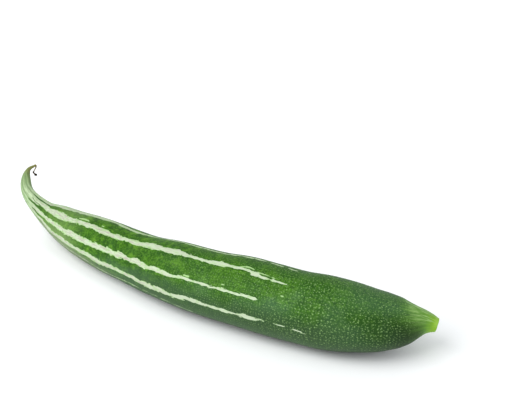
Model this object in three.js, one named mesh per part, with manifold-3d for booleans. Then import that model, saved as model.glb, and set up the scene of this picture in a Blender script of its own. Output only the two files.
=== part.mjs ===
// A snake gourd as picked, lying on its side. The fruit is one long bowed body: a thick end with the stub of its
// cut stalk, a straight belly that lies along the ground, and a thin tail that rises and hooks over at the
// blossom end, where the withered blossom still hangs by a dry thread.
// Millimetres, +Z up, the ground at z = 0. The stalk end points to +X, and the bow is hollow towards +Y.

import * as THREE from "three";
import { mergeVertices } from "three/addons/utils/BufferGeometryUtils.js";
import Module from "manifold-3d";

// Driving dimensions

// The fruit at stations from the blossom tip to the cut stalk. Each one gives the place of the middle of the
// fruit over the ground, how high the belly is lifted off the ground there, and the radius.
const STATIONS = [
  { x: -177.5, y: 30.7, lift: 45.0, radius: 0.8 },
  { x: -180.7, y: 26.7, lift: 41.3, radius: 1.7 },
  { x: -179.3, y: 21.2, lift: 32.7, radius: 3.9 },
  { x: -170.3, y: 13.4, lift: 24.7, radius: 5.2 },
  { x: -149.5, y: 7.8, lift: 14.4, radius: 8.5 },
  { x: -132.0, y: 5.6, lift: 7.2, radius: 12.9 },
  { x: -114.0, y: 3.2, lift: 2.3, radius: 16.0 },
  { x: -95.0, y: -0.3, lift: 0.6, radius: 18.4 },
  { x: -75.0, y: -3.3, lift: 0.0, radius: 19.7 },
  { x: -54.0, y: -5.9, lift: 0.0, radius: 20.2 },
  { x: -33.0, y: -8.6, lift: 0.0, radius: 21.2 },
  { x: -12.0, y: -10.2, lift: 0.0, radius: 23.0 },
  { x: 9.0, y: -10.8, lift: 0.0, radius: 24.0 },
  { x: 30.0, y: -9.7, lift: 0.0, radius: 24.5 },
  { x: 51.0, y: -7.8, lift: 0.0, radius: 25.6 },
  { x: 72.0, y: -5.9, lift: 0.0, radius: 25.6 },
  { x: 92.0, y: -3.5, lift: 0.0, radius: 25.5 },
  { x: 110.0, y: -0.5, lift: 0.0, radius: 26.0 },
  { x: 126.0, y: 3.8, lift: 1.0, radius: 24.8 },
  { x: 141.0, y: 8.8, lift: 2.7, radius: 22.5 },
  { x: 152.0, y: 13.7, lift: 5.1, radius: 20.1 },
  { x: 162.0, y: 19.1, lift: 8.8, radius: 16.4 },
  { x: 173.0, y: 26.7, lift: 16.0, radius: 8.9 },
  { x: 181.5, y: 30.7, lift: 18.5, radius: 4.6 },
];

// Depth of the strip along the belly that the fruit's own weight has pressed flat.
const FLAT_DEPTH = 0.6;

// Low ridges run the length of the fruit, one under each pale stripe. The angles are in degrees round the fruit,
// from the side that bulges out of the bow, over the top. The heights are shares of the radius.
const RIDGE_ANGLES = [4, 36, 77, 124, 164, 205, 247, 289, 327];
const RIDGE_HALF_WIDTH = 12;
const TAIL_RIDGE = 0.08;
const BODY_RIDGE = 0.012;
const TAIL_RIDGE_END = 0.3;

// The mean of the ridges all the way round, which is taken off so that they don't fatten the fruit.
const RIDGE_MEAN = RIDGE_ANGLES.length * RIDGE_HALF_WIDTH * Math.sqrt(Math.PI) / 360;

// The stalk has five corners, which run out over the shoulder of the fruit.
const STALK_CORNERS = 5;
const STALK_CORNER = 0.05;
const SHOULDER_START = 0.905;

const FRUIT_SIDES = 45;
const STEPS_PER_STATION = 4;

// A block of ground, a little longer and wider than the fruit.
const GROUND = { length: 400, width: 120, depth: 20 };

// The withered blossom hangs from the tip of the tail: a dry thread with a small knot on it and a shrivelled
// head at its end. The places are measured from the tip.
const THREAD_RADIUS = 0.42;
const THREAD_SIDES = 6;
const THREAD_STEPS = 22;
const THREAD_PATH = [
  [0.15, 0.2, 0.15],
  [0.4, 0.55, 0.35],
  [0.45, 0.75, -0.4],
  [0.1, 0.4, -1.5],
  [-0.3, 0.0, -2.9],
  [-0.5, -0.2, -4.4],
  [-1.2, -0.8, -5.9],
  [-0.6, -0.4, -7.1],
  [0.0, 0.1, -8.0],
];
const KNOT = { place: [-1.2, -0.8, -5.9], radii: [0.8, 0.7, 0.75] };
const HEAD = { place: [0.1, 0.15, -8.1], radii: [1.3, 0.95, 0.9] };

// Points closer than this are one point of a solid.
const SAME_POINT = 1e-4;

// Solids that are cut and joined

const wasm = await Module();
wasm.setup();

// A closed geometry as a solid, with its shared vertices merged.
function solidOf(geometry) {
  geometry.deleteAttribute("normal");
  geometry.deleteAttribute("uv");
  const merged = mergeVertices(geometry, SAME_POINT);
  return new wasm.Manifold(new wasm.Mesh({
    numProp: 3,
    vertProperties: new Float32Array(merged.attributes.position.array),
    triVerts: new Uint32Array(merged.index.array),
  }));
}

// A solid as a geometry again.
function geometryOf(solid) {
  const mesh = solid.getMesh();
  const geometry = new THREE.BufferGeometry();
  geometry.setAttribute("position", new THREE.Float32BufferAttribute(mesh.vertProperties, 3));
  geometry.setIndex(new THREE.BufferAttribute(mesh.triVerts, 1));
  geometry.computeVertexNormals();
  return geometry;
}

// The fruit with its stalk stub

const smoothCurve = (points) => new THREE.CatmullRomCurve3(points, false, "catmullrom", 0.5);

const spine = smoothCurve(STATIONS.map(({ x, y, lift, radius }) =>
  new THREE.Vector3(x, y, lift + radius - FLAT_DEPTH)));

// The radius follows a curve of the same kind, so that it keeps step with the spine.
const girth = smoothCurve(STATIONS.map(({ radius }) => new THREE.Vector3(radius, 0, 0)));

// How far an angle lies from a ridge, in degrees, the short way round.
function angleFrom(ridge, angle) {
  return Math.abs(THREE.MathUtils.euclideanModulo(angle - ridge + 180, 360) - 180);
}

// How far the skin stands out at an angle in degrees, as a share of the radius, at a place along the fruit
// from 0 at the blossom tip to 1 at the cut.
function relief(angle, along) {
  const tail = 1 - THREE.MathUtils.smoothstep(along, 0, TAIL_RIDGE_END);
  const shoulder = THREE.MathUtils.smoothstep(along, SHOULDER_START, 1);
  const ridgeHeight = THREE.MathUtils.lerp(BODY_RIDGE, TAIL_RIDGE, tail) * (1 - shoulder);
  const ridges = RIDGE_ANGLES.reduce((sum, ridge) =>
    sum + Math.exp(-((angleFrom(ridge, angle) / RIDGE_HALF_WIDTH) ** 2)), 0);
  const corners = Math.cos(THREE.MathUtils.degToRad(STALK_CORNERS * angle));
  return ridgeHeight * (ridges - RIDGE_MEAN) + STALK_CORNER * shoulder * corners;
}

// A closed cylinder of radius 1 and length 1, bent along the spine and swelled to the girth.
function fruitGeometry() {
  const steps = STEPS_PER_STATION * (STATIONS.length - 1);
  const geometry = new THREE.CylinderGeometry(1, 1, 1, FRUIT_SIDES, steps);
  const position = geometry.attributes.position;
  const up = new THREE.Vector3(0, 0, 1);
  for (let i = 0; i < position.count; i += 1) {
    const along = position.getY(i) + 0.5;
    const acrossX = position.getX(i);
    const acrossZ = position.getZ(i);
    const angle = THREE.MathUtils.radToDeg(Math.atan2(acrossZ, acrossX));
    const radius = girth.getPoint(along).x * (1 + relief(angle, along));
    const heading = spine.getTangent(along);
    const sideways = heading.clone().cross(up).normalize();
    const upwards = sideways.clone().cross(heading);
    const point = spine.getPoint(along)
      .addScaledVector(sideways, acrossX * radius)
      .addScaledVector(upwards, acrossZ * radius);
    position.setXYZ(i, point.x, point.y, point.z);
  }
  return geometry;
}

// What lies below the ground is cut away, which leaves the flat strip along the belly.
function belowGround() {
  const box = new THREE.BoxGeometry(GROUND.length, GROUND.width, GROUND.depth);
  box.translate(0, 0, -GROUND.depth / 2);
  return box;
}

const fruit = new THREE.Mesh(
  geometryOf(solidOf(fruitGeometry()).subtract(solidOf(belowGround()))),
  new THREE.MeshStandardMaterial({ color: 0x477d2c, roughness: 0.45, metalness: 0 }),
);
fruit.name = "fruit";

// The withered blossom

function threadGeometry() {
  const section = new THREE.Shape();
  section.absarc(0, 0, THREAD_RADIUS, 0, 2 * Math.PI);
  return new THREE.ExtrudeGeometry(section, {
    steps: THREAD_STEPS,
    curveSegments: THREAD_SIDES,
    extrudePath: smoothCurve(THREAD_PATH.map((place) => new THREE.Vector3(...place))),
  });
}

// A small shrivelled lump.
function lumpGeometry({ place, radii }) {
  const geometry = new THREE.IcosahedronGeometry(1, 1);
  geometry.scale(...radii);
  geometry.translate(...place);
  return geometry;
}

const blossom = new THREE.Mesh(
  geometryOf([KNOT, HEAD].reduce(
    (solid, lump) => solid.add(solidOf(lumpGeometry(lump))),
    solidOf(threadGeometry()),
  )),
  new THREE.MeshStandardMaterial({ color: 0x4a3a24, roughness: 0.9, metalness: 0 }),
);
blossom.name = "withered_blossom";
blossom.position.copy(spine.getPoint(0));

const gourd = new THREE.Group();
gourd.add(fruit, blossom);

export default gourd;
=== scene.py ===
# A snake gourd as picked, lying on its side on a pale floor: one long bowed fruit that ends in the stub of
# its cut stalk, and the withered blossom that still hangs from the tip of its thin, hooked tail.

import math
import random

import bmesh
import bpy
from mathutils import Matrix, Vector, noise


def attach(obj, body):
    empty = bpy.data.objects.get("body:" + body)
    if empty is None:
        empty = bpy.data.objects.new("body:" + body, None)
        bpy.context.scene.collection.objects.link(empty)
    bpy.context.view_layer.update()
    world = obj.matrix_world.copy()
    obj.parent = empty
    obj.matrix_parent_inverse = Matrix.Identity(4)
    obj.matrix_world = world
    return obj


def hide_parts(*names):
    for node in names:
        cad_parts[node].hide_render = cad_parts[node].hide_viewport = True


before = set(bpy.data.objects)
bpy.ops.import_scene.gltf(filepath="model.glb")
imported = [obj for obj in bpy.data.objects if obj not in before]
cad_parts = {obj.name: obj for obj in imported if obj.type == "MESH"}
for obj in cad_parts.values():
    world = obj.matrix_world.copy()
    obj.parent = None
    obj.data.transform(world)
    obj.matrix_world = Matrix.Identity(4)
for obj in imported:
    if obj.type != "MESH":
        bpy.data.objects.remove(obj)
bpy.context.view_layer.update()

# Camera. It looks down on the gourd from the side that bulges out of its bow, and a little from the end with
# the stalk.

MM = 0.001
CAMERA_PLACE = Vector((435.4, -610.3, 506.9)) * MM
CAMERA_LOOKS_DOWN = math.radians(30)
CAMERA_TURN = math.radians(32)
CAMERA_LENS = 85
CAMERA_SENSOR = 36


def shown(name, data):
    """A new object in the scene that holds the data."""
    made = bpy.data.objects.new(name, data)
    bpy.context.scene.collection.objects.link(made)
    return made


camera = shown("camera", bpy.data.cameras.new("camera"))
camera.data.lens = CAMERA_LENS
camera.data.sensor_width = CAMERA_SENSOR
camera.location = CAMERA_PLACE
camera.rotation_euler = (math.pi / 2 - CAMERA_LOOKS_DOWN, 0, CAMERA_TURN)
bpy.context.scene.camera = camera
bpy.context.scene.view_settings.view_transform = "Standard"

# Floor and light. The floor is a plain pale sheet with a painted glow that grows with the distance from the
# gourd, and a painted shadow along the line where the gourd lies on it. White light comes from all round,
# more of it from the front. One large soft box hangs in front of the gourd, above it and to the left, so
# that its soft shadow falls behind it and to the right.

FLOOR_SIZE = 8.0
FLOOR_DROP = 0.05 * MM
FLOOR_COLOUR = (0.90, 0.90, 0.905, 1)
FLOOR_GLOW_NEAR = (0.135, 0.138, 0.14, 1)
FLOOR_GLOW_FAR = (0.5, 0.5, 0.5, 1)
FLOOR_GLOW_REACH = (0.22, 0.7)

# The painted shadow lies along the line where the belly meets the floor. That line bows as the belly does,
# by so many metres for each square metre of the way from its middle. Each pair of places is where the
# painted shadow starts and where it is full. Under the lifted tail it is only partly dark.
FLOOR_PAINTED_SHADOW = (0.0, 0.0, 0.0, 1)
SHADOW_LINE_MIDDLE = -0.0108
SHADOW_LINE_BOW = 0.9
SHADOW_ASIDE = (0.027, 0.010)
SHADOW_ENDS = (0.18, 0.13)
SHADOW_PAST_TAIL = (-0.10, 0.02)
SHADOW_UNDER_TAIL = 0.65

SURROUND_COLOUR = (0.95, 0.98, 1.0, 1)
SURROUND_IN_FRONT = 0.83
SURROUND_BEHIND = 0.63
SURROUND_SLANT = 0.8
SOFT_BOX_PLACE = (-0.38, -0.82, 1.07)
SOFT_BOX_SIZE = 1.1
SOFT_BOX_POWER = 13.6


class Wire:
    """One output in a material's nodes, which can be reckoned with as a number can."""

    def __init__(self, tree, socket=None):
        self.tree = tree
        self.socket = socket

    def node(self, kind, settings=None, sockets=None, output=0):
        """Adds a node and gives one output of it. Its settings go in first, then the values or links of its
        sockets."""
        made = self.tree.nodes.new(kind)
        for name, value in (settings or {}).items():
            setattr(made, name, value)
        for name, value in (sockets or {}).items():
            if isinstance(value, Wire):
                self.tree.links.new(value.socket, made.inputs[name])
            else:
                made.inputs[name].default_value = value
        return Wire(self.tree, made.outputs[output])

    def maths(self, operation, *values):
        return self.node("ShaderNodeMath", {"operation": operation}, dict(enumerate(values)))

    def __add__(self, other):
        return self.maths("ADD", self, other)

    __radd__ = __add__

    def __sub__(self, other):
        return self.maths("SUBTRACT", self, other)

    def __rsub__(self, other):
        return self.maths("SUBTRACT", other, self)

    def __mul__(self, other):
        return self.maths("MULTIPLY", self, other)

    __rmul__ = __mul__

    def __truediv__(self, other):
        return self.maths("DIVIDE", self, other)

    def __pow__(self, other):
        return self.maths("POWER", self, other)

    def __abs__(self):
        return self.maths("ABSOLUTE", self)

    def ease(self, low, high):
        """0 below low, 1 above high, and a smooth step between them, or the other way if high is less."""
        return self.node(
            "ShaderNodeMapRange",
            {"interpolation_type": "SMOOTHSTEP"},
            {"Value": self, "From Min": low, "From Max": high},
        )

    def blend(self, first, second):
        """The first colour where this is 0, the second where it is 1."""
        return self.node("ShaderNodeMix", {"data_type": "RGBA"}, {0: self, 6: first, 7: second}, output=2)

    def stretched(self, x, y, z):
        """This place with its three parts scaled."""
        return self.node("ShaderNodeVectorMath", {"operation": "MULTIPLY"}, {0: self, 1: (x, y, z)})

    def noise(self, size, detail=2.0, roughness=0.5):
        """Cloudy noise from 0 to 1 at this place. Its clouds are about the given size."""
        sockets = {"Vector": self, "Scale": 1 / size, "Detail": detail, "Roughness": roughness}
        return self.node("ShaderNodeTexNoise", {}, sockets)

    def dots(self, spacing, scatter):
        """How far the nearest of many points is that lie scattered over a flat map, as a share of their
        spacing."""
        sockets = {"Vector": self, "Scale": 1 / spacing, "Randomness": scatter}
        return self.node("ShaderNodeTexVoronoi", {"voronoi_dimensions": "2D"}, sockets)


def new_material(name):
    """A material, its main shader, and a first wire to build its nodes from."""
    made = bpy.data.materials.new(name)
    made.use_nodes = True
    return made, made.node_tree.nodes["Principled BSDF"], Wire(made.node_tree)


def feed(wire, shader, socket):
    wire.tree.links.new(wire.socket, shader.inputs[socket])


def meshed(name, shape, material):
    """An object whose mesh is the finished shape."""
    mesh = bpy.data.meshes.new(name)
    shape.to_mesh(mesh)
    shape.free()
    mesh.materials.append(material)
    return shown(name, mesh)


def parts_of(wire):
    """The three parts of a place or a mark."""
    split = wire.node("ShaderNodeSeparateXYZ", {}, {0: wire})
    return [Wire(split.tree, output) for output in split.socket.node.outputs]


def floor_finish():
    """A pale matt sheet whose painted glow grows away from the gourd and gives way to a painted shadow along
    its belly line.
    """
    made, shader, start = new_material("pale_floor")
    place = start.node("ShaderNodeTexCoord", output="Object")
    away = place.node("ShaderNodeVectorMath", {"operation": "LENGTH"}, {0: place}, output="Value")
    x, y, _ = parts_of(place)
    # A painted shadow along the line where the belly lies, and a painted glow that grows away from the
    # gourd.
    aside = abs(y - x * x * SHADOW_LINE_BOW - SHADOW_LINE_MIDDLE)
    share = SHADOW_UNDER_TAIL + x.ease(*SHADOW_PAST_TAIL) * (1 - SHADOW_UNDER_TAIL)
    painted_shadow = aside.ease(*SHADOW_ASIDE) * abs(x).ease(*SHADOW_ENDS) * share
    glow = away.ease(*FLOOR_GLOW_REACH).blend(FLOOR_GLOW_NEAR, FLOOR_GLOW_FAR)
    feed(painted_shadow.blend(glow, FLOOR_PAINTED_SHADOW), shader, "Emission Color")
    shader.inputs["Emission Strength"].default_value = 1
    shader.inputs["Base Color"].default_value = FLOOR_COLOUR
    shader.inputs["Roughness"].default_value = 0.9
    shader.inputs["Specular IOR Level"].default_value = 0.1
    return made


floor_shape = bmesh.new()
bmesh.ops.create_grid(floor_shape, x_segments=1, y_segments=1, size=FLOOR_SIZE / 2)
bmesh.ops.translate(floor_shape, verts=floor_shape.verts, vec=(0, 0, -FLOOR_DROP))
meshed("floor", floor_shape, floor_finish())

world = bpy.data.worlds.new("surround")
world.use_nodes = True
surround = world.node_tree.nodes["Background"]
surround.inputs["Color"].default_value = SURROUND_COLOUR
direction = Wire(world.node_tree).node("ShaderNodeTexCoord")
backward = direction.node("ShaderNodeSeparateXYZ", {}, {0: direction}, output=1)
slant = {"Value": backward, "From Min": -SURROUND_SLANT, "From Max": SURROUND_SLANT}
slant |= {"To Min": SURROUND_IN_FRONT, "To Max": SURROUND_BEHIND}
feed(backward.node("ShaderNodeMapRange", {}, slant), surround, "Strength")
bpy.context.scene.world = world

soft_box = shown("soft_box", bpy.data.lights.new("soft_box", "AREA"))
soft_box.data.size = SOFT_BOX_SIZE
soft_box.data.energy = SOFT_BOX_POWER
soft_box.location = SOFT_BOX_PLACE
soft_box.rotation_euler = (-Vector(SOFT_BOX_PLACE)).to_track_quat("-Z", "Y").to_euler()

# Fruit. One long bowed gourd with a hard, waxy green skin and pale stripes. It tapers to a thin tail that
# rises and hooks over at the blossom end, and at the other end it narrows to the stub of its cut stalk. It
# grew in one piece, so it is one sheet rolled up round its middle line and closed at both ends.

# The middle of the fruit over the ground, the lift of its belly off the ground and its radius, in
# millimetres, from the blossom tip to the cut. The belly is pressed flat by FLAT_DEPTH where it lies.
STATIONS = (
    (-177.5, 30.7, 45.0, 0.8),
    (-180.7, 26.7, 41.3, 1.7),
    (-179.3, 21.2, 32.7, 3.9),
    (-170.3, 13.4, 24.7, 5.2),
    (-149.5, 7.8, 14.4, 8.5),
    (-132.0, 5.6, 7.2, 12.9),
    (-114.0, 3.2, 2.3, 16.0),
    (-95.0, -0.3, 0.6, 18.4),
    (-75.0, -3.3, 0.0, 19.7),
    (-54.0, -5.9, 0.0, 20.2),
    (-33.0, -8.6, 0.0, 21.2),
    (-12.0, -10.2, 0.0, 23.0),
    (9.0, -10.8, 0.0, 24.0),
    (30.0, -9.7, 0.0, 24.5),
    (51.0, -7.8, 0.0, 25.6),
    (72.0, -5.9, 0.0, 25.6),
    (92.0, -3.5, 0.0, 25.5),
    (110.0, -0.5, 0.0, 26.0),
    (126.0, 3.8, 1.0, 24.8),
    (141.0, 8.8, 2.7, 22.5),
    (152.0, 13.7, 5.1, 20.1),
    (162.0, 19.1, 8.8, 16.4),
    (173.0, 26.7, 16.0, 8.9),
    (181.5, 30.7, 18.5, 4.6),
)
FLAT_DEPTH = 0.6

# Low ridges under the stripes, in degrees round the fruit from the side that bulges out of the bow, over the
# top. The heights are shares of the radius, and the shares of the length count from the tip.
RIDGE_ANGLES = (4, 36, 77, 124, 164, 205, 247, 289, 327)
RIDGE_HALF_WIDTH = 12
TAIL_RIDGE = 0.08
BODY_RIDGE = 0.012
TAIL_RIDGE_END = 0.3
RIDGE_MEAN = len(RIDGE_ANGLES) * RIDGE_HALF_WIDTH * math.sqrt(math.pi) / 360
STALK_CORNERS = 5
STALK_CORNER = 0.05
SHOULDER_START = 0.905

# The sheet: its faces round the fruit, and its rows of points over the tip, the body, the rim of the cut and
# the cut face. The belly is its seam. The tip is a low dome, and the cut face is dished inside a round rim,
# over DISH_SLOPE of its radius.
SIDES = 144
TIP_ROWS = 5
BODY_ROWS = 600
RIM_ROWS = 6
FACE_ROWS = 16
SEAM_ANGLE = -90
TIP_DOME = 0.85 * MM
RIM = 0.9 * MM
DISH = 0.5 * MM
DISH_SLOPE = 0.35

# The cut is made just short of the last station, and a little aslant: on the side that bulges out of the bow
# it lies back by this share of the radius. The stub takes up the slant over its last stretch.
BODY_END = 0.997
CUT_SLANT = 0.13
SLANT_LENGTH = 6 * MM

# On the rough cut face, woody bundles stand in a ring round a shrunken pith.
BUNDLES = 10
BUNDLE_RING = 2.6 * MM
BUNDLE_BREADTH = 0.5 * MM
BUNDLE_HEIGHT = 0.13 * MM
PITH_RADIUS = 1.1 * MM
PITH_DEPTH = 0.35 * MM
CUT_ROUGHNESS = 0.05 * MM
CUT_GRAIN = 0.6 * MM


def smooth_step(value, low, high):
    share = min(max((value - low) / (high - low), 0), 1)
    return share * share * (3 - 2 * share)


def smooth_curve(points, along):
    """A place and its heading on the smooth curve through evenly stepped points, from 0 to 1 along it."""
    reach = along * (len(points) - 1)
    step = min(int(reach), len(points) - 2)
    t = reach - step
    here, there = points[step], points[step + 1]
    before = points[step - 1] if step > 0 else 2 * here - there
    after = points[step + 2] if step + 2 < len(points) else 2 * there - here
    out = (there - before) / 2
    into = (after - here) / 2
    bend = 3 * (there - here) - 2 * out - into
    twist = 2 * (here - there) + out + into
    return here + t * (out + t * (bend + t * twist)), out + t * (2 * bend + 3 * t * twist)


# Each point is the middle line's place and, as its fourth part, the radius.
SPINE = [Vector((x, y, lift + radius - FLAT_DEPTH, radius)) * MM for x, y, lift, radius in STATIONS]


def angle_between(angle, other):
    """How far an angle lies past the other one, in degrees, the short way round."""
    return (angle - other + 180) % 360 - 180


def relief(angle, along):
    """How far the skin stands out, as a share of the radius."""
    tail = 1 - smooth_step(along, 0, TAIL_RIDGE_END)
    shoulder = smooth_step(along, SHOULDER_START, 1)
    height = (BODY_RIDGE + (TAIL_RIDGE - BODY_RIDGE) * tail) * (1 - shoulder)
    aside = [angle_between(angle, ridge) / RIDGE_HALF_WIDTH for ridge in RIDGE_ANGLES]
    ridges = sum(math.exp(-(way ** 2)) for way in aside)
    corners = math.cos(math.radians(STALK_CORNERS * angle))
    return height * (ridges - RIDGE_MEAN) + STALK_CORNER * shoulder * corners


# How uneven the skin is: broad swellings and small dents all over it, and furrows along the tail and the
# neck. All of them are lower where the fruit is slenderer than the radius that is given with them.
SWELLING_HEIGHT = 0.30 * MM
SWELLING_SIZE = 28 * MM
DENT_HEIGHT = 0.07 * MM
DENT_SIZE = 6 * MM
DENTED_RADIUS = 8 * MM
FURROW_HEIGHT = 0.16 * MM
FURROW_BREADTH = 0.22
FURROW_LENGTH = 30 * MM
FURROWED_RADIUS = 4 * MM
NECK_LENGTH = 34 * MM
TAIL_LENGTH = 85 * MM


def unevenness(angle, passed, radius, left):
    """How far the skin stands out there, where so much has passed since the tip and so much is left to the
    cut."""
    turn = math.radians(angle)
    around = Vector((math.cos(turn), math.sin(turn), 0))
    place = around * radius + Vector((0, 0, passed))
    swelling = SWELLING_HEIGHT * noise.noise(place / SWELLING_SIZE)
    dent = DENT_HEIGHT * noise.noise(place / DENT_SIZE)
    furrow = FURROW_HEIGHT * noise.noise(around / FURROW_BREADTH + Vector((0, 0, passed / FURROW_LENGTH)))
    furrowed = max(1 - smooth_step(passed, 0, TAIL_LENGTH), 1 - smooth_step(left, 0, NECK_LENGTH))
    dented = min(radius / DENTED_RADIUS, 1)
    return (swelling + dent) * dented + furrow * furrowed * min(radius / FURROWED_RADIUS, 1)


def cut_relief(angle, radius):
    """How far the cut face stands out there."""
    ring = math.exp(-(((radius - BUNDLE_RING) / BUNDLE_BREADTH) ** 2))
    bundle = 0.5 + 0.5 * math.cos(math.radians(BUNDLES * angle))
    turn = math.radians(angle)
    rough = noise.noise(Vector((math.cos(turn), math.sin(turn), 0)) * radius / CUT_GRAIN)
    pith = math.exp(-((radius / PITH_RADIUS) ** 2))
    return BUNDLE_HEIGHT * ring * bundle + CUT_ROUGHNESS * rough - PITH_DEPTH * pith


def sheet_rows():
    """How the sheet goes from the middle of the tip to the middle of the cut face. Each row has its place
    along the middle line, its radius as a share of the fruit's, and how far it is pushed along that line."""
    rows = []
    for step in range(TIP_ROWS):
        turn = math.pi / 2 * step / TIP_ROWS
        rows.append((0, math.sin(turn), -TIP_DOME * math.cos(turn)))
    for step in range(BODY_ROWS + 1):
        rows.append((BODY_END * step / BODY_ROWS, 1, 0))
    end_radius = SPINE[-1][3]
    for step in range(1, RIM_ROWS + 1):
        turn = math.pi / 2 * step / RIM_ROWS
        rows.append((BODY_END, 1 - RIM / end_radius * (1 - math.cos(turn)), RIM * math.sin(turn)))
    flat = 1 - RIM / end_radius
    for step in range(1, FACE_ROWS + 1):
        size = flat * (1 - step / FACE_ROWS)
        rows.append((BODY_END, size, RIM - DISH * smooth_step(flat - size, 0, DISH_SLOPE)))
    return rows


ROWS = sheet_rows()


def row_places():
    """For each row, the middle line's place, its directions across and up, its radius, and the way passed
    since the middle line's start, which lies inside the rounded tip."""
    places = []
    passed = 0
    last = None
    for along, size, push in ROWS:
        place, heading = smooth_curve(SPINE, along)
        centre = place.xyz
        heading = heading.xyz.normalized()
        across = heading.cross(Vector((0, 0, 1))).normalized()
        over = across.cross(heading)
        centre += heading * push
        edge = centre + over * place[3] * size
        if last:
            step = (centre - last[0]).length
            passed += step if size == 1 else math.hypot(step, place[3] * size - last[1])
        last = (centre, place[3] * size)
        places.append((centre, across, over, place[3] * size, passed))
    start = places[TIP_ROWS][4]
    return [(*place, passed - start) for *place, passed in places]


ROW_PLACES = row_places()
FIRST_PASSED = ROW_PLACES[0][4]
LAST_PASSED = ROW_PLACES[-1][4]
CUT_START = ROW_PLACES[TIP_ROWS + BODY_ROWS][4]
RIM_ARC = RIM * math.pi / 2

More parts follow.
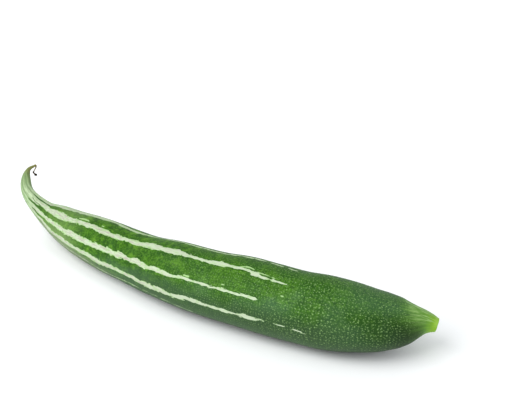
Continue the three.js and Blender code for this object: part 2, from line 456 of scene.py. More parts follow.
# The pale stripes, one along each ridge. A path lists millimetres from the blossom tip and degrees round the
# fruit. A breadth lists millimetres from the tip and half of the stripe's width there, and the stripe is
# gone where that is below nothing. The five that show in front wander as the grown ones do, and those at the
# back and under the belly go on in the same way.
STRIPES = (
    {
        "path": (
            (0, 4), (44, 6), (57, 6.5), (60, 5), (63, 0.5), (66, -2), (72, -2.2), (78, -1), (84, 1.5),
            (90, 2), (110, 1), (120, 2), (130, -0.5), (140, -1.5), (150, 0), (160, 0), (170, -1),
            (176, -3.5), (185, -4), (200, -4.3), (206, -4.8), (213, -2.5), (220, 0), (230, -2),
            (240, -1.5), (250, -3.3), (256, -2.8), (268, -2), (279, -1.5), (286, -0.5), (293, -0.5),
            (300, -1), (308, -5),
        ),
        "breadth": (
            (0, 3.0), (40, 1.8), (50, 1.4), (60, 1.5), (66, 2.1), (70, 2.2), (77, 1.8), (90, 1.9),
            (100, 1.7), (120, 1.9), (130, 2.3), (140, 2.1), (150, 1.7), (160, 1.6), (170, 1.6),
            (176, 2.2), (185, 2.3), (200, 2.25), (204, 1.2), (210, 1.8), (216, 2.0), (222, 1.6),
            (230, 1.4), (236, 0.95), (242, 1.2), (250, 1.45), (256, 0.8), (268, 1.8), (274, 1.0),
            (279, 0.6), (281, -0.5), (284, -0.5), (286, 0.4), (293, 0.35), (296, -0.3), (299, 0.5),
            (305, 0.7), (308, 0.4), (310, -0.8), (340, -2.0),
        ),
    },
    {
        "path": (
            (0, 28), (40, 26), (48, 29.5), (57, 30.7), (61, 28.5), (66, 27), (70, 29), (90, 29),
            (100, 30), (120, 30), (130, 30.5), (140, 31.5), (150, 32), (157, 34), (165, 33),
            (173, 34.5), (180, 31), (186, 31.5), (192, 32.5), (200, 31), (205, 30.3), (213, 33),
            (222, 32.3), (230, 32.7), (237, 31), (246, 32), (256, 30), (264, 31.3), (272, 31),
        ),
        "breadth": (
            (0, 2.6), (36, 1.7), (45, 1.8), (50, 1.9), (54, 1.5), (60, 1.35), (66, 1.55), (70, 1.9),
            (80, 1.85), (87, 1.7), (97, 2.3), (105, 2.2), (115, 2.2), (125, 2.1), (145, 2.05),
            (157, 2.15), (164, 1.5), (173, 2.2), (180, 1.95), (186, 1.4), (192, 1.6), (200, 1.4),
            (206, 1.2), (213, 1.15), (222, 0.8), (230, 1.05), (237, 0.85), (246, 0.9), (252, 0.5),
            (256, 0.7), (264, 1.0), (270, 0.9), (273, 0.3), (275, -0.6), (310, -2.0),
        ),
    },
    {
        "path": (
            (0, 70), (36, 67), (44, 67), (50, 73), (54, 71.5), (57, 68), (60, 63.5), (66, 62), (75, 63),
            (80, 62.3), (85, 62.5), (90, 63.5), (100, 65.5), (110, 67), (120, 68), (130, 66), (140, 67),
            (150, 68.7), (160, 71), (170, 72.3), (180, 74.8), (186, 73.8), (192, 73.3), (200, 75.5),
            (207, 74.8), (215, 74.5), (225, 73.8), (235, 74.8), (242, 74.3), (247, 73), (255, 72.5),
            (260, 72), (263, 70.5), (266, 69.5), (272, 67.5), (280, 67), (288, 66.5),
        ),
        "breadth": (
            (0, 3.0), (36, 3.0), (44, 2.7), (50, 2.1), (54, 2.0), (58, 2.2), (62, 1.9), (66, 2.3),
            (70, 2.8), (80, 3.0), (85, 2.7), (90, 2.0), (95, 2.2), (100, 2.1), (120, 2.1), (130, 2.2),
            (140, 2.2), (150, 2.0), (160, 1.9), (170, 2.05), (179, 2.7), (186, 2.4), (192, 2.2),
            (200, 2.75), (206, 1.75), (212, 1.4), (220, 1.05), (227, 1.1), (233, 2.05), (241, 2.1),
            (244, 1.2), (250, 1.0), (255, 0.8), (260, 0.8), (263, 1.8), (266, 1.7), (269, 1.0),
            (272, 0.85), (280, 0.85), (286, 0.75), (289, 0.3), (290.5, -0.6), (320, -2.0),
        ),
    },
    {
        "path": (
            (0, 124), (36, 118), (50, 110), (60, 107), (75, 108), (90, 108), (100, 108), (110, 109),
            (120, 111), (128, 112), (136, 109), (144, 106), (155, 105.5), (170, 110), (185, 112),
            (200, 112), (225, 109), (240, 108), (256, 111), (273, 111), (285, 107), (293, 105),
        ),
        "breadth": (
            (0, 3.0), (30, 2.4), (50, 2.6), (58, 3.2), (62, 2.5), (67, 3.5), (72, 4.2), (80, 2.7),
            (90, 2.9), (100, 2.8), (118, 2.6), (128, 1.7), (136, 1.8), (150, 1.7), (165, 1.1),
            (175, 0.7), (200, 1.2), (220, 0.9), (245, 1.0), (252, 1.3), (262, 1.2), (266, -0.3),
            (270, 0.9), (277, 0.8), (280, -0.3), (284, 0.7), (289, 0.5), (292, -0.6), (320, -2.0),
        ),
    },
    {
        "path": ((0, 164), (60, 158), (120, 152), (190, 148), (280, 151)),
        "breadth": (
            (0, 3.0), (40, 2.6), (56, 2.0), (90, 1.7), (130, 1.9), (150, 1.5), (162, 2.0), (178, 1.2),
            (196, 1.5), (212, 0.8), (222, 1.3), (240, 0.8), (256, 1.1), (268, -0.3), (274, 0.5),
            (280, -1.0), (310, -2.0),
        ),
    },
    {
        "path": ((0, 204), (60, 201), (90, 196), (120, 198), (190, 194), (240, 197), (280, 193)),
        "breadth": (
            (0, 3.0), (40, 2.6), (56, 2.2), (90, 1.9), (108, 2.4), (124, 1.6), (150, 2.1), (172, 1.5),
            (186, 1.9), (206, 1.2), (220, 0.7), (230, 1.3), (244, 0.6), (262, 0.9), (276, 0.5),
            (284, 0.3), (288, -1.0), (310, -2.0),
        ),
    },
    {
        "path": ((0, 246), (60, 242), (120, 245), (190, 240), (280, 243)),
        "breadth": (
            (0, 3.0), (40, 2.6), (56, 2.0), (90, 1.6), (120, 1.8), (150, 1.2), (174, 1.5), (200, 0.9),
            (216, 1.2), (236, 0.5), (244, -0.5), (250, 0.5), (262, 0.3), (266, -1.0), (300, -2.0),
        ),
    },
    {
        "path": ((0, 289), (60, 292), (120, 290), (190, 286), (280, 287)),
        "breadth": (
            (0, 3.0), (40, 2.6), (56, 1.8), (90, 1.3), (118, 1.5), (150, 1.0), (170, 1.2), (200, 0.6),
            (222, 0.4), (228, -1.0), (280, -2.0),
        ),
    },
    {
        "path": (
            (0, 327), (50, 333), (86, 340), (120, 340), (130, 336), (145, 333), (155, 335), (162, 338),
            (175, 336), (200, 333), (215, 329), (222, 327),
        ),
        "breadth": (
            (0, 3.0), (40, 2.4), (56, 1.5), (84, 0.6), (120, 0.75), (165, 0.7), (176, 0.35),
            (195, 0.35), (212, 0.5), (220, 0.4), (226, -0.6), (260, -2.0),
        ),
    },
)

# Short strands beside the stripes, given in the same way. A pale one has come away from a stripe, and a dark
# one is green skin that splits a stripe.
STRANDS = (
    {
        "path": ((98, 76), (105, 79), (111, 77)),
        "breadth": ((97, -0.5), (100, 0.7), (108, 0.9), (112, -0.5)),
    },
    {"path": ((123, 78.5), (127, 78.5)), "breadth": ((123, -0.5), (124, 0.6), (126, 0.6), (127, -0.5))},
    {
        "path": ((252, 76), (258, 79), (264, 77)),
        "breadth": ((251, -0.5), (254, 0.7), (261, 0.7), (265, -0.5)),
    },
    {
        "path": ((263, 75), (272, 73.5), (282, 71)),
        "breadth": ((263, 0.0), (266, 0.35), (278, 0.3), (283, -0.5)),
    },
    {"path": ((214, 38), (220, 38)), "breadth": ((213, -0.5), (215, 0.7), (218, 0.7), (220, -0.5))},
    {"path": ((244, 39.5), (248, 39.5)), "breadth": ((244, -0.5), (245, 0.4), (247, 0.4), (248, -0.5))},
    {"path": ((287, 46), (291, 46)), "breadth": ((287, -0.5), (288, 0.4), (290, 0.4), (291, -0.5))},
    {"path": ((366, 100), (384, 84)), "breadth": ((366, -0.5), (371, 0.9), (378, 1.0), (385, -0.5))},
    {"path": ((368, 78), (382, 70)), "breadth": ((368, -0.5), (372, 0.5), (378, 0.6), (383, -0.5))},
    {
        "path": ((33, 94), (39, 90.5), (43, 89), (47, 90.5), (55, 88), (60, 82)),
        "breadth": ((32, -0.5), (36, 0.5), (43, 0.75), (46, 1.0), (49, 0.7), (57, 0.7), (61, 0.3)),
        "dark": True,
    },
    {
        "path": ((33, 39), (41, 42.5), (44, 45.5), (47, 44.5), (50, 47), (54, 50), (58, 48)),
        "breadth": ((33, -0.5), (36, 0.5), (44, 0.65), (48, 0.8), (52, 1.3), (58, 0.5)),
        "dark": True,
    },
    {
        "path": ((36, 68), (38, 66), (42, 59.5), (48, 60.5), (54, 58)),
        "breadth": ((35, -0.5), (38, 0.2), (42, 0.25), (50, 0.3), (55, 0.1)),
        "dark": True,
    },
    {
        "path": ((42, 13), (47, 18), (51, 15.5), (56, 16), (60, 17.5)),
        "breadth": ((41, -0.4), (45, 0.4), (52, 0.6), (57, 0.8), (61, 0.4)),
        "dark": True,
    },
    {
        "path": (
            (52, -1.5), (57, -3.5), (60, -6.5), (63, -15), (66, -18.5), (72, -17.5), (78, -13),
            (85, -11),
        ),
        "breadth": ((52, -0.4), (56, 0.5), (60, 0.8), (64, 1.4), (78, 1.4), (84, 1.4), (88, 0.3)),
        "dark": True,
    },
)

# A face shows a strand whose middle lies within so many degrees of it. Where there is none, the distance to
# it is given as so many millimetres.
STRAND_REACH = 12
NO_STRAND = 20.0


def on_line(points, place):
    """The value at a place on the line through given points, eased at each of them."""
    for (start, first), (end, second) in zip(points, points[1:]):
        if place <= end:
            return first + (second - first) * smooth_step(place, start, end)
    return points[-1][1]


def on_curve(points, place):
    """The value at a place on the smooth curve through given points. It stays the same past the last."""
    slopes = []
    for index in range(len(points)):
        start, end = points[max(index - 1, 0)], points[min(index + 1, len(points) - 1)]
        slopes.append((end[1] - start[1]) / (end[0] - start[0]))
    for index in range(len(points) - 1):
        (start, first), (end, second) = points[index], points[index + 1]
        if place <= end:
            reach = end - start
            t = (place - start) / reach
            rise = second - first
            out, into = slopes[index] * reach, slopes[index + 1] * reach
            return first + t * (out + t * (3 * rise - 2 * out - into + t * (out + into - 2 * rise)))
    return points[-1][1]


def stripes_in_rows():
    """For each row of the sheet, each stripe's middle in degrees and half of its width in millimetres."""
    return [
        [(on_curve(mark["path"], row[4] / MM), on_line(mark["breadth"], row[4] / MM)) for mark in STRIPES]
        for row in ROW_PLACES
    ]


def nearest_stripe(angle, radius, stripes):
    """The number of the stripe whose edge is nearest to an angle, or that it lies deepest in."""
    clear = [math.radians(abs(angle_between(angle, centre))) * radius - half for centre, half in stripes]
    return clear.index(min(clear))


def stripe_mark(number, stripes, angle, radius):
    """How an angle lies to a stripe, in millimetres: how far past its middle, half of the stripe's width,
    and half of the way from its middle to the next one's on that side."""
    centre, half = stripes[number]
    across = angle_between(angle, centre)
    side = 1 if across > 0 else -1
    others = [side * angle_between(other, centre) for i, (other, _) in enumerate(stripes) if i != number]
    gap = min(way for way in others if way > 0) / 2
    return math.radians(across) * radius, half, math.radians(gap) * radius


def strand_near(angle, passed):
    """The strand that lies near an angle, so many millimetres from the tip, if there is one."""
    for strand in STRANDS:
        if strand["breadth"][0][0] <= passed <= strand["breadth"][-1][0]:
            if abs(angle_between(angle, on_curve(strand["path"], passed))) < STRAND_REACH:
                return strand
    return None


def strand_mark(strand, angle, passed, radius):
    """How an angle lies to a strand: how far past its middle and half of its width, in millimetres, and 1
    for a dark one."""
    if not strand:
        return NO_STRAND, 0, 0
    across = angle_between(angle, on_curve(strand["path"], passed))
    dark = 1 if strand.get("dark") else 0
    return math.radians(across) * radius, on_line(strand["breadth"], passed), dark


def row_at(y):
    """How many rows up the flat sheet a place lies."""
    return (y + 0.5) * (len(ROWS) - 1)


def angle_at(x):
    """How many degrees round the fruit a place across the flat sheet comes to lie."""
    return SEAM_ANGLE + 360 * (x + 0.5)


def mark_corners(sheet):
    """Lays what the skin reads on the corners of the flat sheet's faces: a map for baking, and how they lie
    to the stripe and the strand that are nearest to their face."""
    map_layer = sheet.loops.layers.uv.new("OFBake")
    stripe_layer = sheet.loops.layers.float_vector.new("stripe")
    strand_layer = sheet.loops.layers.float_vector.new("strand")
    row_stripes = stripes_in_rows()
    for face in sheet.faces:
        middle = face.calc_center_median()
        row = int(row_at(middle.y))
        angle = angle_at(middle.x)
        nearest = nearest_stripe(angle, ROW_PLACES[row][3] / MM, row_stripes[row])
        strand = strand_near(angle, ROW_PLACES[row][4] / MM)
        for corner in face.loops:
            at = corner.vert.co
            row = round(row_at(at.y))
            angle = angle_at(at.x)
            passed = ROW_PLACES[row][4]
            radius = max(ROW_PLACES[row][3], SPINE[0][3]) / MM
            corner[map_layer].uv = (at.x + 0.5, (passed - FIRST_PASSED) / (LAST_PASSED - FIRST_PASSED))
            corner[stripe_layer] = stripe_mark(nearest, row_stripes[row], angle, radius)
            corner[strand_layer] = strand_mark(strand, angle, passed / MM, radius)


def bend_round(sheet):
    """Bends the flat sheet round the fruit's middle line, and notes on its points where they lie."""
    around_layer = sheet.verts.layers.float_vector.new("around")
    radius_layer = sheet.verts.layers.float.new("radius")
    for point in sheet.verts:
        row = round(row_at(point.co.y))
        angle = angle_at(point.co.x)
        turn = math.radians(angle)
        centre, across, over, radius, passed = ROW_PLACES[row]
        left = CUT_START - passed
        reach = radius * (1 + relief(angle, ROWS[row][0])) + unevenness(angle, passed, radius, left)
        point[around_layer] = (math.cos(turn), math.sin(turn), passed / MM)
        point[radius_layer] = radius / MM
        point.co = centre + (across * math.cos(turn) + over * math.sin(turn)) * reach
        onward = over.cross(across)
        slant = CUT_SLANT * (1 - smooth_step(left, 0, SLANT_LENGTH))
        point.co -= onward * slant * reach * math.cos(turn)
        if row > TIP_ROWS + BODY_ROWS + RIM_ROWS:
            point.co += onward * cut_relief(angle, radius)
        point.co.z = max(point.co.z, 0)


def roll_up():
    """The fruit: a flat sheet that is marked, bent round, and closed along the belly and at both ends."""
    sheet = bmesh.new()
    bmesh.ops.create_grid(sheet, x_segments=SIDES, y_segments=len(ROWS) - 1, size=0.5)
    mark_corners(sheet)
    bend_round(sheet)
    bmesh.ops.remove_doubles(sheet, verts=[v for v in sheet.verts if v.is_boundary], dist=0.001 * MM)
    bmesh.ops.recalc_face_normals(sheet, faces=sheet.faces)
    for face in sheet.faces:
        face.smooth = True
    return sheet


def srgb(red, green, blue):
    """A colour as a screen shows it, from 0 to 255, as light."""
    parts = [part / 255 for part in (red, green, blue)]
    return (*(p / 12.92 if p <= 0.04045 else ((p + 0.055) / 1.055) ** 2.4 for p in parts), 1)


# The colours of the skin, from the green between the stripes to the cut. Several are laid on as painted
# light and shade: shade on the low side, under and along the belly, on the shoulder and the neck and in the
# tail, light on the tail and the neck, a sheen, a highlight and greyish reflections of the floor.
LEAF_GREEN = srgb(62, 112, 8)
MOSS_GREEN = srgb(48, 94, 22)
LIGHT_GREEN = srgb(98, 148, 40)
DARK_GREEN = srgb(24, 66, 6)
GRAIN_GREEN = srgb(96, 144, 46)
DEEP_GREEN_AND_SHADE = srgb(26, 50, 16)
YOUNG_GREEN = srgb(116, 146, 84)
SHADED_GREEN = srgb(62, 80, 58)
BLOOM_AND_SHEEN_GREEN = srgb(80, 112, 84)
LOW_SHADE_GREEN = srgb(44, 68, 36)
BELLY_CONTACT_SHADE = srgb(30, 38, 28)
UNDER_TAIL_REFLECTION = srgb(132, 140, 118)
SPECKLE = srgb(132, 168, 102)
STRIPE_WHITE = srgb(190, 206, 174)
STRIPE_GREY = srgb(172, 168, 154)
STRIPE_FRINGE = srgb(158, 194, 128)
TAIL_TIP = srgb(122, 146, 90)
TAIL_PALE = srgb(160, 188, 140)
TAIL_LIT = srgb(186, 206, 164)
TAIL_DARK_AND_VALLEY_SHADE = srgb(104, 134, 80)
OLIVE = srgb(116, 114, 60)
INNER_TAIL_SHADE = srgb(98, 112, 66)
NECK_GREEN = srgb(103, 152, 58)
NECK_PALE_LIT = srgb(156, 194, 112)
STUB_GREEN = srgb(134, 180, 36)
STUB_HIGHLIGHT = srgb(164, 204, 88)
CUT_PALE = srgb(186, 202, 130)
CUT_EDGE = srgb(122, 150, 66)
CUT_WOODY = srgb(142, 132, 78)

# The speckles lie on two flat maps of the skin, one for each side, unrolled at this radius in millimetres.
# The maps are shifted along the fruit, one each way, so that they aren't alike, and they fade into one
# another. A speckle is gone past the first share of its radius and whole within the second.
SPECKLED_RADIUS = 25
SPECKLE_SHIFT = 50
SPECKLE_SCATTER = 0.62
SPECKLE_EDGE = (1.3, 0.8)
SPECKLE_FADE = 0.12

# How deep inside its edge a stripe starts to show and is whole, in millimetres.
STRIPE_EDGE = (-0.15, 0.2)

# What the heights of the bumps in the wax are measured in.
BUMP_HEIGHT = 0.08 * MM


def painted(colour, *coats):
    """The colour under coats of others. Each coat is how much it covers, from 0 to 1, and its colour."""
    for cover, coat in coats:
        colour = cover.blend(colour, coat)
    return colour


class Skin:
    """What the parts of the skin's finish share. Each place has a sine and a cosine round the fruit, which
    are 1 on top and on the side that bulges out of the bow, and the millimetres passed since the tip and
    left to the cut."""

    def __init__(self, start):
        outputs = {"around": "Vector", "radius": "Fac", "stripe": "Vector", "strand": "Vector"}
        self.around, self.radius, stripe, strand = [
            start.node("ShaderNodeAttribute", {"attribute_name": name}, output=output)
            for name, output in outputs.items()
        ]
        self.cosine, self.sine, self.passed = parts_of(self.around)
        self.left = CUT_START / MM - self.passed
        unbent = {0: self.cosine * self.radius, 1: self.sine * self.radius, 2: self.passed}
        self.place = start.node("ShaderNodeCombineXYZ", {}, unbent)
        # How far a place lies in the painted shade under the belly.
        self.under = (0 - self.sine).ease(0.05, 0.75) * self.passed.ease(60, 120)

        # Grain, and noises that are drawn out along the fruit.
        self.drawn_out = self.place.stretched(1, 1, 0.4)
        self.grain = self.place.noise(1.5, detail=3, roughness=0.75)
        self.tone = self.drawn_out.noise(2.4, detail=3, roughness=0.6)
        self.mottle = self.place.stretched(1, 1, 0.35).noise(1.7, detail=3, roughness=0.65)
        self.lines = self.place.stretched(1, 1, 0.09).noise(0.9, detail=2, roughness=0.6)
        self.streaks = self.around.stretched(7, 7, 0.03).noise(1, detail=3, roughness=0.6)

        # How deep a place lies inside a stripe, in millimetres, where a dark strand splits one, and where a
        # stripe or a pale strand shows.
        self.across, half, self.gap = parts_of(stripe)
        strand_across, strand_half, dark = parts_of(strand)
        notches = self.notches(half)
        self.depth = half + notches - abs(self.across)
        stranded = (strand_half + notches * 0.5 - abs(strand_across)).ease(*STRIPE_EDGE)
        self.split = stranded * dark
        whole = self.depth.ease(*STRIPE_EDGE) * (1 - self.split)
        self.striped = whole.maths("MAXIMUM", whole, stranded * (1 - dark))

    def notches(self, half):
        """How far the edge of a stripe of that half width is out of line. It frays where the stripe is thin,
        and it is smoother along the tail."""
        notches = (self.drawn_out.noise(2.0, detail=1) - 0.5) * 2.6
        notches += (self.drawn_out.noise(0.9, detail=1) - 0.5) * 1.6
        fibres = self.place.stretched(1, 1, 0.13).noise(0.9, detail=1)
        fray = (fibres - 0.5) * (1.2 + half.ease(1.6, 0.6) * 2.2)
        return (notches + fray) * (0.3 + half.ease(0.0, 1.4) * 0.7) * (0.2 + self.passed.ease(42, 95) * 0.8)

    def dots(self, spacing, size):
        """Small round dots over the whole skin, each of about the given radius in millimetres."""
        edge = [share * size / spacing for share in SPECKLE_EDGE]
        sides = []
        for way in (1, -1):
            turn = self.sine.maths("ARCTAN2", self.sine * way, self.cosine * way)
            unrolled = {0: turn * SPECKLED_RADIUS, 1: self.passed + SPECKLE_SHIFT * way}
            flat = turn.node("ShaderNodeCombineXYZ", {}, unrolled)
            side = (self.cosine * way).ease(-SPECKLE_FADE, SPECKLE_FADE)
            sides.append(flat.dots(spacing, SPECKLE_SCATTER).ease(*edge) * side)
        return turn.maths("MAXIMUM", *sides)

    def speckles(self):
        """Pale speckles, fine ones from the middle of the fruit on and coarse ones towards the stalk. Their
        strength varies, and they are fainter in the painted shade under the belly."""
        vivid = 0.30 + self.place.noise(3.2, detail=1).ease(0.40, 0.62) * 0.42
        coarse = self.dots(2.8, 0.43) * self.passed.ease(230, 310) * vivid
        fine = self.dots(1.9, 0.30) * self.passed.ease(150, 240) * vivid * 0.8
        # The speckles fade in the painted shade under the belly.
        return coarse.maths("MAXIMUM", coarse, fine) * (1 - self.under * 0.6) * self.left.ease(4, 22)


def green_skin(skin, speckled):
    """The green between the stripes: soft patches that calm down towards the stalk, fine grain, a thin
    greyish bloom and pale speckles. It is darker beside the stripes and towards the stalk, and paler near
    the tail.
    Painted shade lies low down, under the belly and on the shoulder's low side, with a painted contact shade
    along the belly, a painted sheen on top of the shoulder and a painted floor reflection in the bloom low
    down."""
    place, sine, passed = skin.place, skin.sine, skin.passed
    tone, grain = skin.tone, skin.grain
    calm = passed.ease(130, 300)
    patches = place.noise(5.5, detail=2)
    mossy = (place.noise(14, detail=2) * 0.7 + patches * 0.3 + passed.ease(40, 380) * 0.2).ease(0.44, 0.70)
    # Bloom in broad patches, laid on more thickly low down as a painted reflection of the floor.
    bloom = (place.noise(26, detail=2) - sine * 0.42).ease(0.22, 0.52) * passed.ease(85, 170)
    young = passed.ease(120, 85) * (0.15 + passed.ease(55, 85) * 0.25 + skin.cosine.ease(0.85, 1.0) * 0.4)
    # Painted shade low down on the body.
    low = (0.6 - sine).ease(0.0, 0.55) * sine.ease(-0.75, -0.2)
    low = low * passed.ease(115, 215) * passed.ease(350, 310) * (0.6 + passed.ease(230, 280) * 0.14)
    return painted(
        mossy.blend(LEAF_GREEN, MOSS_GREEN),
        (patches.ease(0.50, 0.66) * (0.7 - calm * 0.5), LIGHT_GREEN),
        (patches.ease(0.50, 0.34) * (0.6 - calm * 0.35), DARK_GREEN),
        (tone.ease(0.52, 0.34) * 0.4, DARK_GREEN),
        (grain.ease(0.50, 0.68) * 0.6, GRAIN_GREEN),
        (grain.ease(0.50, 0.34) * 0.7, DARK_GREEN),
        (skin.depth.ease(-1.5, -0.3) * tone.ease(0.62, 0.42) * 0.5, DARK_GREEN),
        (bloom * 0.42, BLOOM_AND_SHEEN_GREEN),
        # Darker towards the stalk, and less so on top as painted light.
        (passed.ease(290, 375) * (0.55 - sine.ease(0.5, 0.95) * 0.35), DEEP_GREEN_AND_SHADE),
        # Painted sheen on top of the shoulder, in the colour of the bloom.
        (sine.ease(0.55, 0.95) * passed.ease(310, 345) * 0.3, BLOOM_AND_SHEEN_GREEN),
        # Painted shade on the shoulder's low side.
        ((0.9 - sine).ease(0.0, 0.8) * passed.ease(325, 370) * 0.6, DEEP_GREEN_AND_SHADE),
        (young, YOUNG_GREEN),
        (low, LOW_SHADE_GREEN),
        (skin.under * 0.62, SHADED_GREEN),
        # Painted contact shade along the strip of the belly that lies on the floor.
        ((0 - sine).ease(0.55, 0.85) * passed.ease(130, 200) * 0.6, BELLY_CONTACT_SHADE),
        (speckled, SPECKLE),
    )


def stripe_skin(skin):
    """The pale stripes, with greyish lines along them, a greener fringe, and shade under the belly."""
    whiter = skin.passed.ease(160, 230)
    greyish = (skin.mottle.ease(0.46, 0.66) * 0.4 + skin.lines.ease(0.46, 0.58) * 0.6) * (1 - whiter * 0.7)
    patchy = skin.drawn_out.noise(2.2, detail=2)
    fringe = patchy.ease(0.54, 0.66) * 0.6 + (0 - skin.cosine).ease(0.1, 0.35) * 0.4
    pale = painted(STRIPE_WHITE, (greyish, STRIPE_GREY), (fringe, STRIPE_FRINGE))
    inside = (skin.depth + whiter * 0.35).ease(0.1, 0.85)
    return painted(STRIPE_FRINGE, (inside, pale), (skin.under * 0.5, SHADED_GREEN))


def tail_skin(skin):
    """The pale green of the tail, with painted light on top, darker streaks, and painted shade between its
    ridges.
    """
    valley_shade = (abs(skin.across) / skin.gap).ease(0.45, 1.0)
    return painted(
        TAIL_PALE,
        # Painted light on top of the tail.
        (skin.sine.ease(0.3, 0.95) * skin.passed.ease(14, 30), TAIL_LIT),
        (skin.passed.ease(34, 6), TAIL_TIP),
        # Darker streaks, with painted shade between the ridges.
        ((valley_shade * 0.6 + skin.streaks * 0.8).ease(0.45, 1.05) * 0.7, TAIL_DARK_AND_VALLEY_SHADE),
        (skin.mottle.ease(0.45, 0.65) * 0.2 + skin.lines.ease(0.48, 0.6) * 0.4, TAIL_DARK_AND_VALLEY_SHADE),
    )


def with_tail(skin, colour):
    """The colour with the tail's skin over it, green lines where its stripes split, a painted greyish
    reflection of the floor on the low side near it, painted grey green shade on the inner side of its hook,
    and olive at the tip."""
    sine, passed = skin.sine, skin.passed
    return painted(
        colour,
        (passed.ease(60, 30) * (0.15 + skin.striped * 0.75), tail_skin(skin)),
        (skin.split * passed.ease(30, 40) * passed.ease(60, 46) * 0.8, MOSS_GREEN),
        # Painted greyish reflection of the floor on the low side near the lifted tail.
        ((0.1 - sine).ease(0.0, 0.45) * passed.ease(165, 85) * passed.ease(40, 60) * 0.6, UNDER_TAIL_REFLECTION),
        # Painted shade on the inner side of the hook.
        ((0 - skin.cosine).ease(0.2, 0.95) * passed.ease(50, 15) * 0.5, INNER_TAIL_SHADE),
        (passed.ease(13, 2) * 0.85, OLIVE),
    )


def with_neck(skin, colour):
    """The colour with the neck over it: lighter streaks that run out from the stalk, pale blotches in
    painted light on top, painted shade on its low sides, and the bright stub, which is palest next to its
    cut, with a painted highlight there."""
    sine, left, streaks = skin.sine, skin.left, skin.streaks
    ragged = (streaks - 0.5) * 24
    blotches = skin.around.stretched(9, 9, 0.12).noise(1, detail=3, roughness=0.65)
    # Pale blotches, shown only on top as painted light.
    lit = blotches.ease(0.42, 0.62) * (left + ragged * 0.6).ease(26, 10) * sine.ease(0.35, 0.85)
    # Painted shade on the neck's low sides.
    neck_side_shade = (0.75 - sine).ease(0.0, 0.75) * left.ease(34, 22) * left.ease(6, 17)
    return painted(
        colour,
        ((left + ragged * 1.2 - sine * 6).ease(26, 3) * 0.9, NECK_GREEN),
        (lit * 0.9, NECK_PALE_LIT),
        (neck_side_shade * (0.6 - (0 - sine).ease(0.2, 0.8) * 0.3), DEEP_GREEN_AND_SHADE),
        ((left + (streaks - 0.5) * 14 + (blotches - 0.5) * 10).ease(9, 0), STUB_GREEN),
        (streaks.ease(0.5, 0.35) * left.ease(12, 4) * 0.5, NECK_GREEN),
        # Painted highlight on top of the stub next to its cut.
        (left.ease(4, 0) * sine.ease(-0.2, 0.8) * 0.6, STUB_HIGHLIGHT),
    )


def cut_skin(skin):
    """The cut face: pale, greener towards its edge, with a ring of woody spots and a dry rim."""
    radius = skin.radius
    spokes = skin.sine.maths("ARCTAN2", skin.sine, skin.cosine) * BUNDLES
    bundle = 0.5 + spokes.maths("COSINE", spokes) * 0.5
    ring = abs(radius - BUNDLE_RING / MM).ease(0.95, 0.0)
    return painted(
        CUT_PALE,
        ((radius + (skin.place.noise(0.8) - 0.5) * 1.2).ease(2.2, 3.9), CUT_EDGE),
        ((ring * bundle).ease(0.3, 0.75) * 0.5, CUT_WOODY),
        ((radius + (skin.streaks - 0.5)).ease(3.3, 3.9) * 0.8, CUT_WOODY),
    )


def skin_finish():
    """A hard green skin under a thin dull wax, with pale stripes and speckles, and the bare cut."""
    made, shader, start = new_material("gourd_skin")
    skin = Skin(start)
    speckled = skin.speckles()
    cut = (skin.left + RIM_ARC / MM).ease(0.25, -0.05)
    colour = skin.striped.blend(green_skin(skin, speckled), stripe_skin(skin))
    colour = with_neck(skin, with_tail(skin, colour))
    feed(cut.blend(colour, cut_skin(skin)), shader, "Base Color")
    feed(0.42 + skin.grain * 0.16 + cut * 0.3, shader, "Roughness")
    streaks = skin.streaks * skin.passed.ease(75, 25)
    height = skin.grain * 0.7 + speckled * 0.5 + skin.tone * 0.6 + streaks * 2
    bump = height.node("ShaderNodeBump", {}, {"Height": height, "Distance": BUMP_HEIGHT, "Strength": 0.7})
    feed(bump, shader, "Normal")
    shader.inputs["Specular IOR Level"].default_value = 0.12
    return made


fruit = meshed("gourd_fruit", roll_up(), skin_finish())
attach(fruit, "root")
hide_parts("fruit")

# Withered blossom. The dry remains of the flower hang from the tip of the tail, where they grew. A thread
# of two flat dry strands, loosely twisted, carries a small knot and, at its end, the shrivelled petals,
# rolled up round a wrinkled core, with a few curled threads of their fringe.

# The thread's path starts inside the tip of the tail. All places and sizes here are in millimetres, and the
# places count from the middle of the tip.
THREAD_PATH = (
    (-0.35, -0.4, -0.25), (0.15, 0.2, 0.15), (0.4, 0.55, 0.35), (0.7, 0.9, -0.4), (0.65, 0.75, -1.5),
    (0.1, 0.3, -2.9), (-0.5, -0.2, -4.4), (-1.2, -0.8, -5.9), (-0.6, -0.4, -7.1), (0.0, 0.1, -8.0),
)
THREAD_STRANDS = 2
STRAND_SIZE = (0.42, 0.28)
STRAND_OFFSET = 0.19
STRAND_TURNS = 1.7
STRAND_LOOSENESS = 0.35
STRAND_WOBBLE = 0.6
STRAND_STEPS = 90
STRAND_ROWS = 220
STRAND_SIDES = 14
KNOT_PLACE = (-1.2, -0.8, -5.9)
KNOT_RADII = (0.72, 0.62, 0.68)
CORE_PLACE = (0.1, 0.15, -8.05)
CORE_RADII = (0.95, 0.7, 0.68)
PETALS = 5
PETAL_WIDTH = 0.42
PETAL_THICKNESS = 0.09
PETAL_ROWS = 60
PETAL_SIDES = 24
FRINGES = 13
FRINGE_RADIUS = 0.05
FRINGE_FLATNESS = 0.8
FRINGE_STEPS = 6
FRINGE_STEP = 0.24
FRINGE_ROWS = 28
FRINGE_SIDES = 7

# The draws and the noise that crumples the petals both start from this seed. Blender would otherwise start
# that noise from the clock.
BLOSSOM_SEED = 7

DRY_STRAW = srgb(128, 116, 62)
DRY_BROWN = srgb(74, 54, 30)
DRY_DARK = srgb(34, 27, 18)


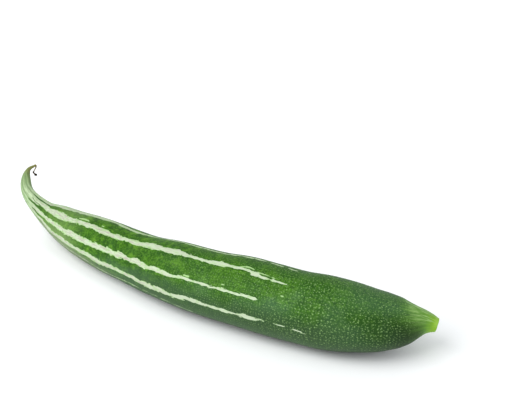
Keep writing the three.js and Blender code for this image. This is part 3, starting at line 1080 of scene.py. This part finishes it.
def add_limb(shape, path, sides, rows, size_at, turns=0.0):
    """Adds a limb with closed ends along the smooth curve through a path. Its half width and half thickness
    at a share of its length come from size_at, and its section turns so many times on the way."""
    made = bmesh.ops.create_grid(shape, x_segments=sides, y_segments=rows, size=0.5)["verts"]
    side = smooth_curve(path, 0)[1].orthogonal()
    sections = []
    for row in range(rows + 1):
        place, heading = smooth_curve(path, row / rows)
        heading.normalize()
        side = (side - heading * side.dot(heading)).normalized()
        sections.append((place, side, heading.cross(side)))
    for point in made:
        row = round((point.co.y + 0.5) * rows)
        turn = 2 * math.pi * (point.co.x + 0.5)
        lean = 2 * math.pi * turns * row / rows
        width, thickness = size_at(row / rows)
        place, side, over = sections[row]
        along_side = side * math.cos(lean) + over * math.sin(lean)
        along_over = over * math.cos(lean) - side * math.sin(lean)
        point.co = place + along_side * width * math.cos(turn) + along_over * thickness * math.sin(turn)
    bmesh.ops.remove_doubles(shape, verts=[v for v in made if v.is_boundary], dist=0.0001)
    return made


def add_lump(shape, place, radii, folds, depth):
    """Adds a small lump with deep wrinkles."""
    made = bmesh.ops.create_icosphere(shape, subdivisions=4, radius=1)["verts"]
    for point in made:
        out = point.co.copy()
        crease = abs(noise.noise(out * folds)) ** 0.6 + 0.5 * abs(noise.noise(out * folds * 2.3))
        size = 1 - depth + depth * 1.6 * crease
        point.co = Vector(place) + Vector([part * radius for part, radius in zip(out, radii)]) * size
    return made


def rounded(share, start, end):
    """1 along most of a limb. It falls to 0 at both ends as a dome does, over the given shares."""
    from_end = min(share / start, (1 - share) / end, 1)
    return math.sqrt(max(1 - (1 - from_end) ** 2, 0))


def dry_strand(number):
    """The path of one strand, which winds round the thread's path."""
    path = []
    side = Vector((1, 0, 0))
    thread = [Vector(place) for place in THREAD_PATH]
    for step in range(STRAND_STEPS + 1):
        place, heading = smooth_curve(thread, step / STRAND_STEPS)
        heading.normalize()
        side = (side - heading * side.dot(heading)).normalized()
        loose = STRAND_LOOSENESS * noise.noise(Vector((step * 0.06, 9, 0)))
        turn = 2 * math.pi * (STRAND_TURNS * step / STRAND_STEPS + loose + number / THREAD_STRANDS)
        wobble = 1 + STRAND_WOBBLE * noise.noise(Vector((step * 0.09, number * 5.0, 0)))
        offset = side * math.cos(turn) + heading.cross(side) * math.sin(turn)
        path.append(place + offset * STRAND_OFFSET * wobble)
    return path


def strand_size(share):
    """A strand is thickest where it leaves the tip, and it shrivels unevenly on its way to the knot."""
    thick = 1.7 - 0.8 * smooth_step(share, 0.2, 0.6) + 0.3 * smooth_step(share, 0.7, 0.85)
    thick *= rounded(share, 0.02, 0.03) * (1 + 0.25 * noise.noise(Vector((share * 14, 3, 0))))
    shrunk = 1 + 0.5 * noise.noise(Vector((share * 23, 7, 0)))
    return STRAND_SIZE[0] * thick, STRAND_SIZE[1] * thick * shrunk


def petal(number, pick):
    """The path of one rolled, drooping petal, which starts in the core and curls out and back under it."""
    turn = 2 * math.pi * (number + pick.uniform(-0.25, 0.25)) / PETALS
    out = Vector((math.cos(turn) * 1.1, math.sin(turn) * 0.8, 0))
    down = Vector((0.1, 0.1, -1))
    curl = pick.uniform(0.5, 1.0)
    start = Vector(CORE_PLACE) + Vector((0, 0, 0.45))
    return [
        start,
        start + out * 0.55 + down * 0.05,
        start + out * 0.95 + down * 0.45,
        start + out * (0.95 + 0.1 * curl) + down * 0.95,
        start + out * 0.6 + down * (1.2 + 0.2 * curl),
        start + out * 0.3 + down * (1.1 + 0.15 * curl),
    ]


def fringe(pick):
    """The path of one curled thread of the petals' fringe."""
    turn = pick.uniform(0, 2 * math.pi)
    heading = Vector((math.cos(turn), math.sin(turn) * 0.8, pick.uniform(-0.9, 0.1))).normalized()
    place = Vector(CORE_PLACE) + heading * 0.55
    bend = Vector((pick.uniform(-1, 1), pick.uniform(-1, 1), pick.uniform(-0.9, 0.3)))
    path = [place]
    for _ in range(FRINGE_STEPS):
        place = place + heading * FRINGE_STEP
        heading = (heading + bend * 0.45).normalized()
        path.append(place)
    return path


def dry_blossom_shape():
    """The whole withered blossom: thread, knot, core, petals and fringe."""
    shape = bmesh.new()
    pick = random.Random(BLOSSOM_SEED)
    noise.seed_set(BLOSSOM_SEED)
    for number in range(THREAD_STRANDS):
        add_limb(shape, dry_strand(number), STRAND_SIDES, STRAND_ROWS, strand_size, turns=1.6 + number)
    add_lump(shape, KNOT_PLACE, KNOT_RADII, 1.4, 0.24)
    add_lump(shape, CORE_PLACE, CORE_RADII, 2.1, 0.45)
    for number in range(PETALS):
        width = PETAL_WIDTH * pick.uniform(0.8, 1.15)
        made = add_limb(
            shape, petal(number, pick), PETAL_SIDES, PETAL_ROWS,
            lambda share: (width * rounded(share, 0.35, 0.5), PETAL_THICKNESS * rounded(share, 0.1, 0.1)),
            turns=pick.uniform(-0.35, 0.35),
        )
        for point in made:
            if point.is_valid:
                crumpled = noise.noise_vector(point.co * 1.9) * 0.17
                point.co += crumpled + noise.noise_vector(point.co * 5) * 0.05
    for _ in range(FRINGES):
        radius = FRINGE_RADIUS * pick.uniform(0.8, 1.3)
        add_limb(
            shape, fringe(pick), FRINGE_SIDES, FRINGE_ROWS,
            lambda share: [radius * part * rounded(share, 0.1, 0.6) for part in (1, FRINGE_FLATNESS)],
        )
    bmesh.ops.scale(shape, verts=shape.verts, vec=(MM, MM, MM))
    bmesh.ops.translate(shape, verts=shape.verts, vec=SPINE[0].xyz)
    bmesh.ops.recalc_face_normals(shape, faces=shape.faces)
    for face in shape.faces:
        face.smooth = True
    return shape


def dry_finish():
    """Dead, dry plant: olive straw along the thread, brown at the knot, and nearly black in the petals."""
    made, shader, start = new_material("dry_blossom")
    place = start.node("ShaderNodeTexCoord", output="Object").stretched(1 / MM, 1 / MM, 1 / MM)
    height = parts_of(place)[2] - SPINE[0][2] / MM
    mottle = place.noise(0.5, detail=3)
    colour = (mottle * 0.7 + height.ease(-3.0, -6.5) * 0.5).ease(0.3, 0.8).blend(DRY_STRAW, DRY_BROWN)
    colour = (height.ease(-6.6, -7.4) * mottle.ease(0.3, 0.55)).blend(colour, DRY_DARK)
    feed(colour, shader, "Base Color")
    bump = mottle.node("ShaderNodeBump", {}, {"Height": place.noise(0.12, detail=3), "Distance": 0.05 * MM})
    feed(bump, shader, "Normal")
    shader.inputs["Roughness"].default_value = 0.85
    shader.inputs["Specular IOR Level"].default_value = 0.2
    return made


blossom = meshed("dry_blossom", dry_blossom_shape(), dry_finish())
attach(blossom, "root")
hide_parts("withered_blossom")
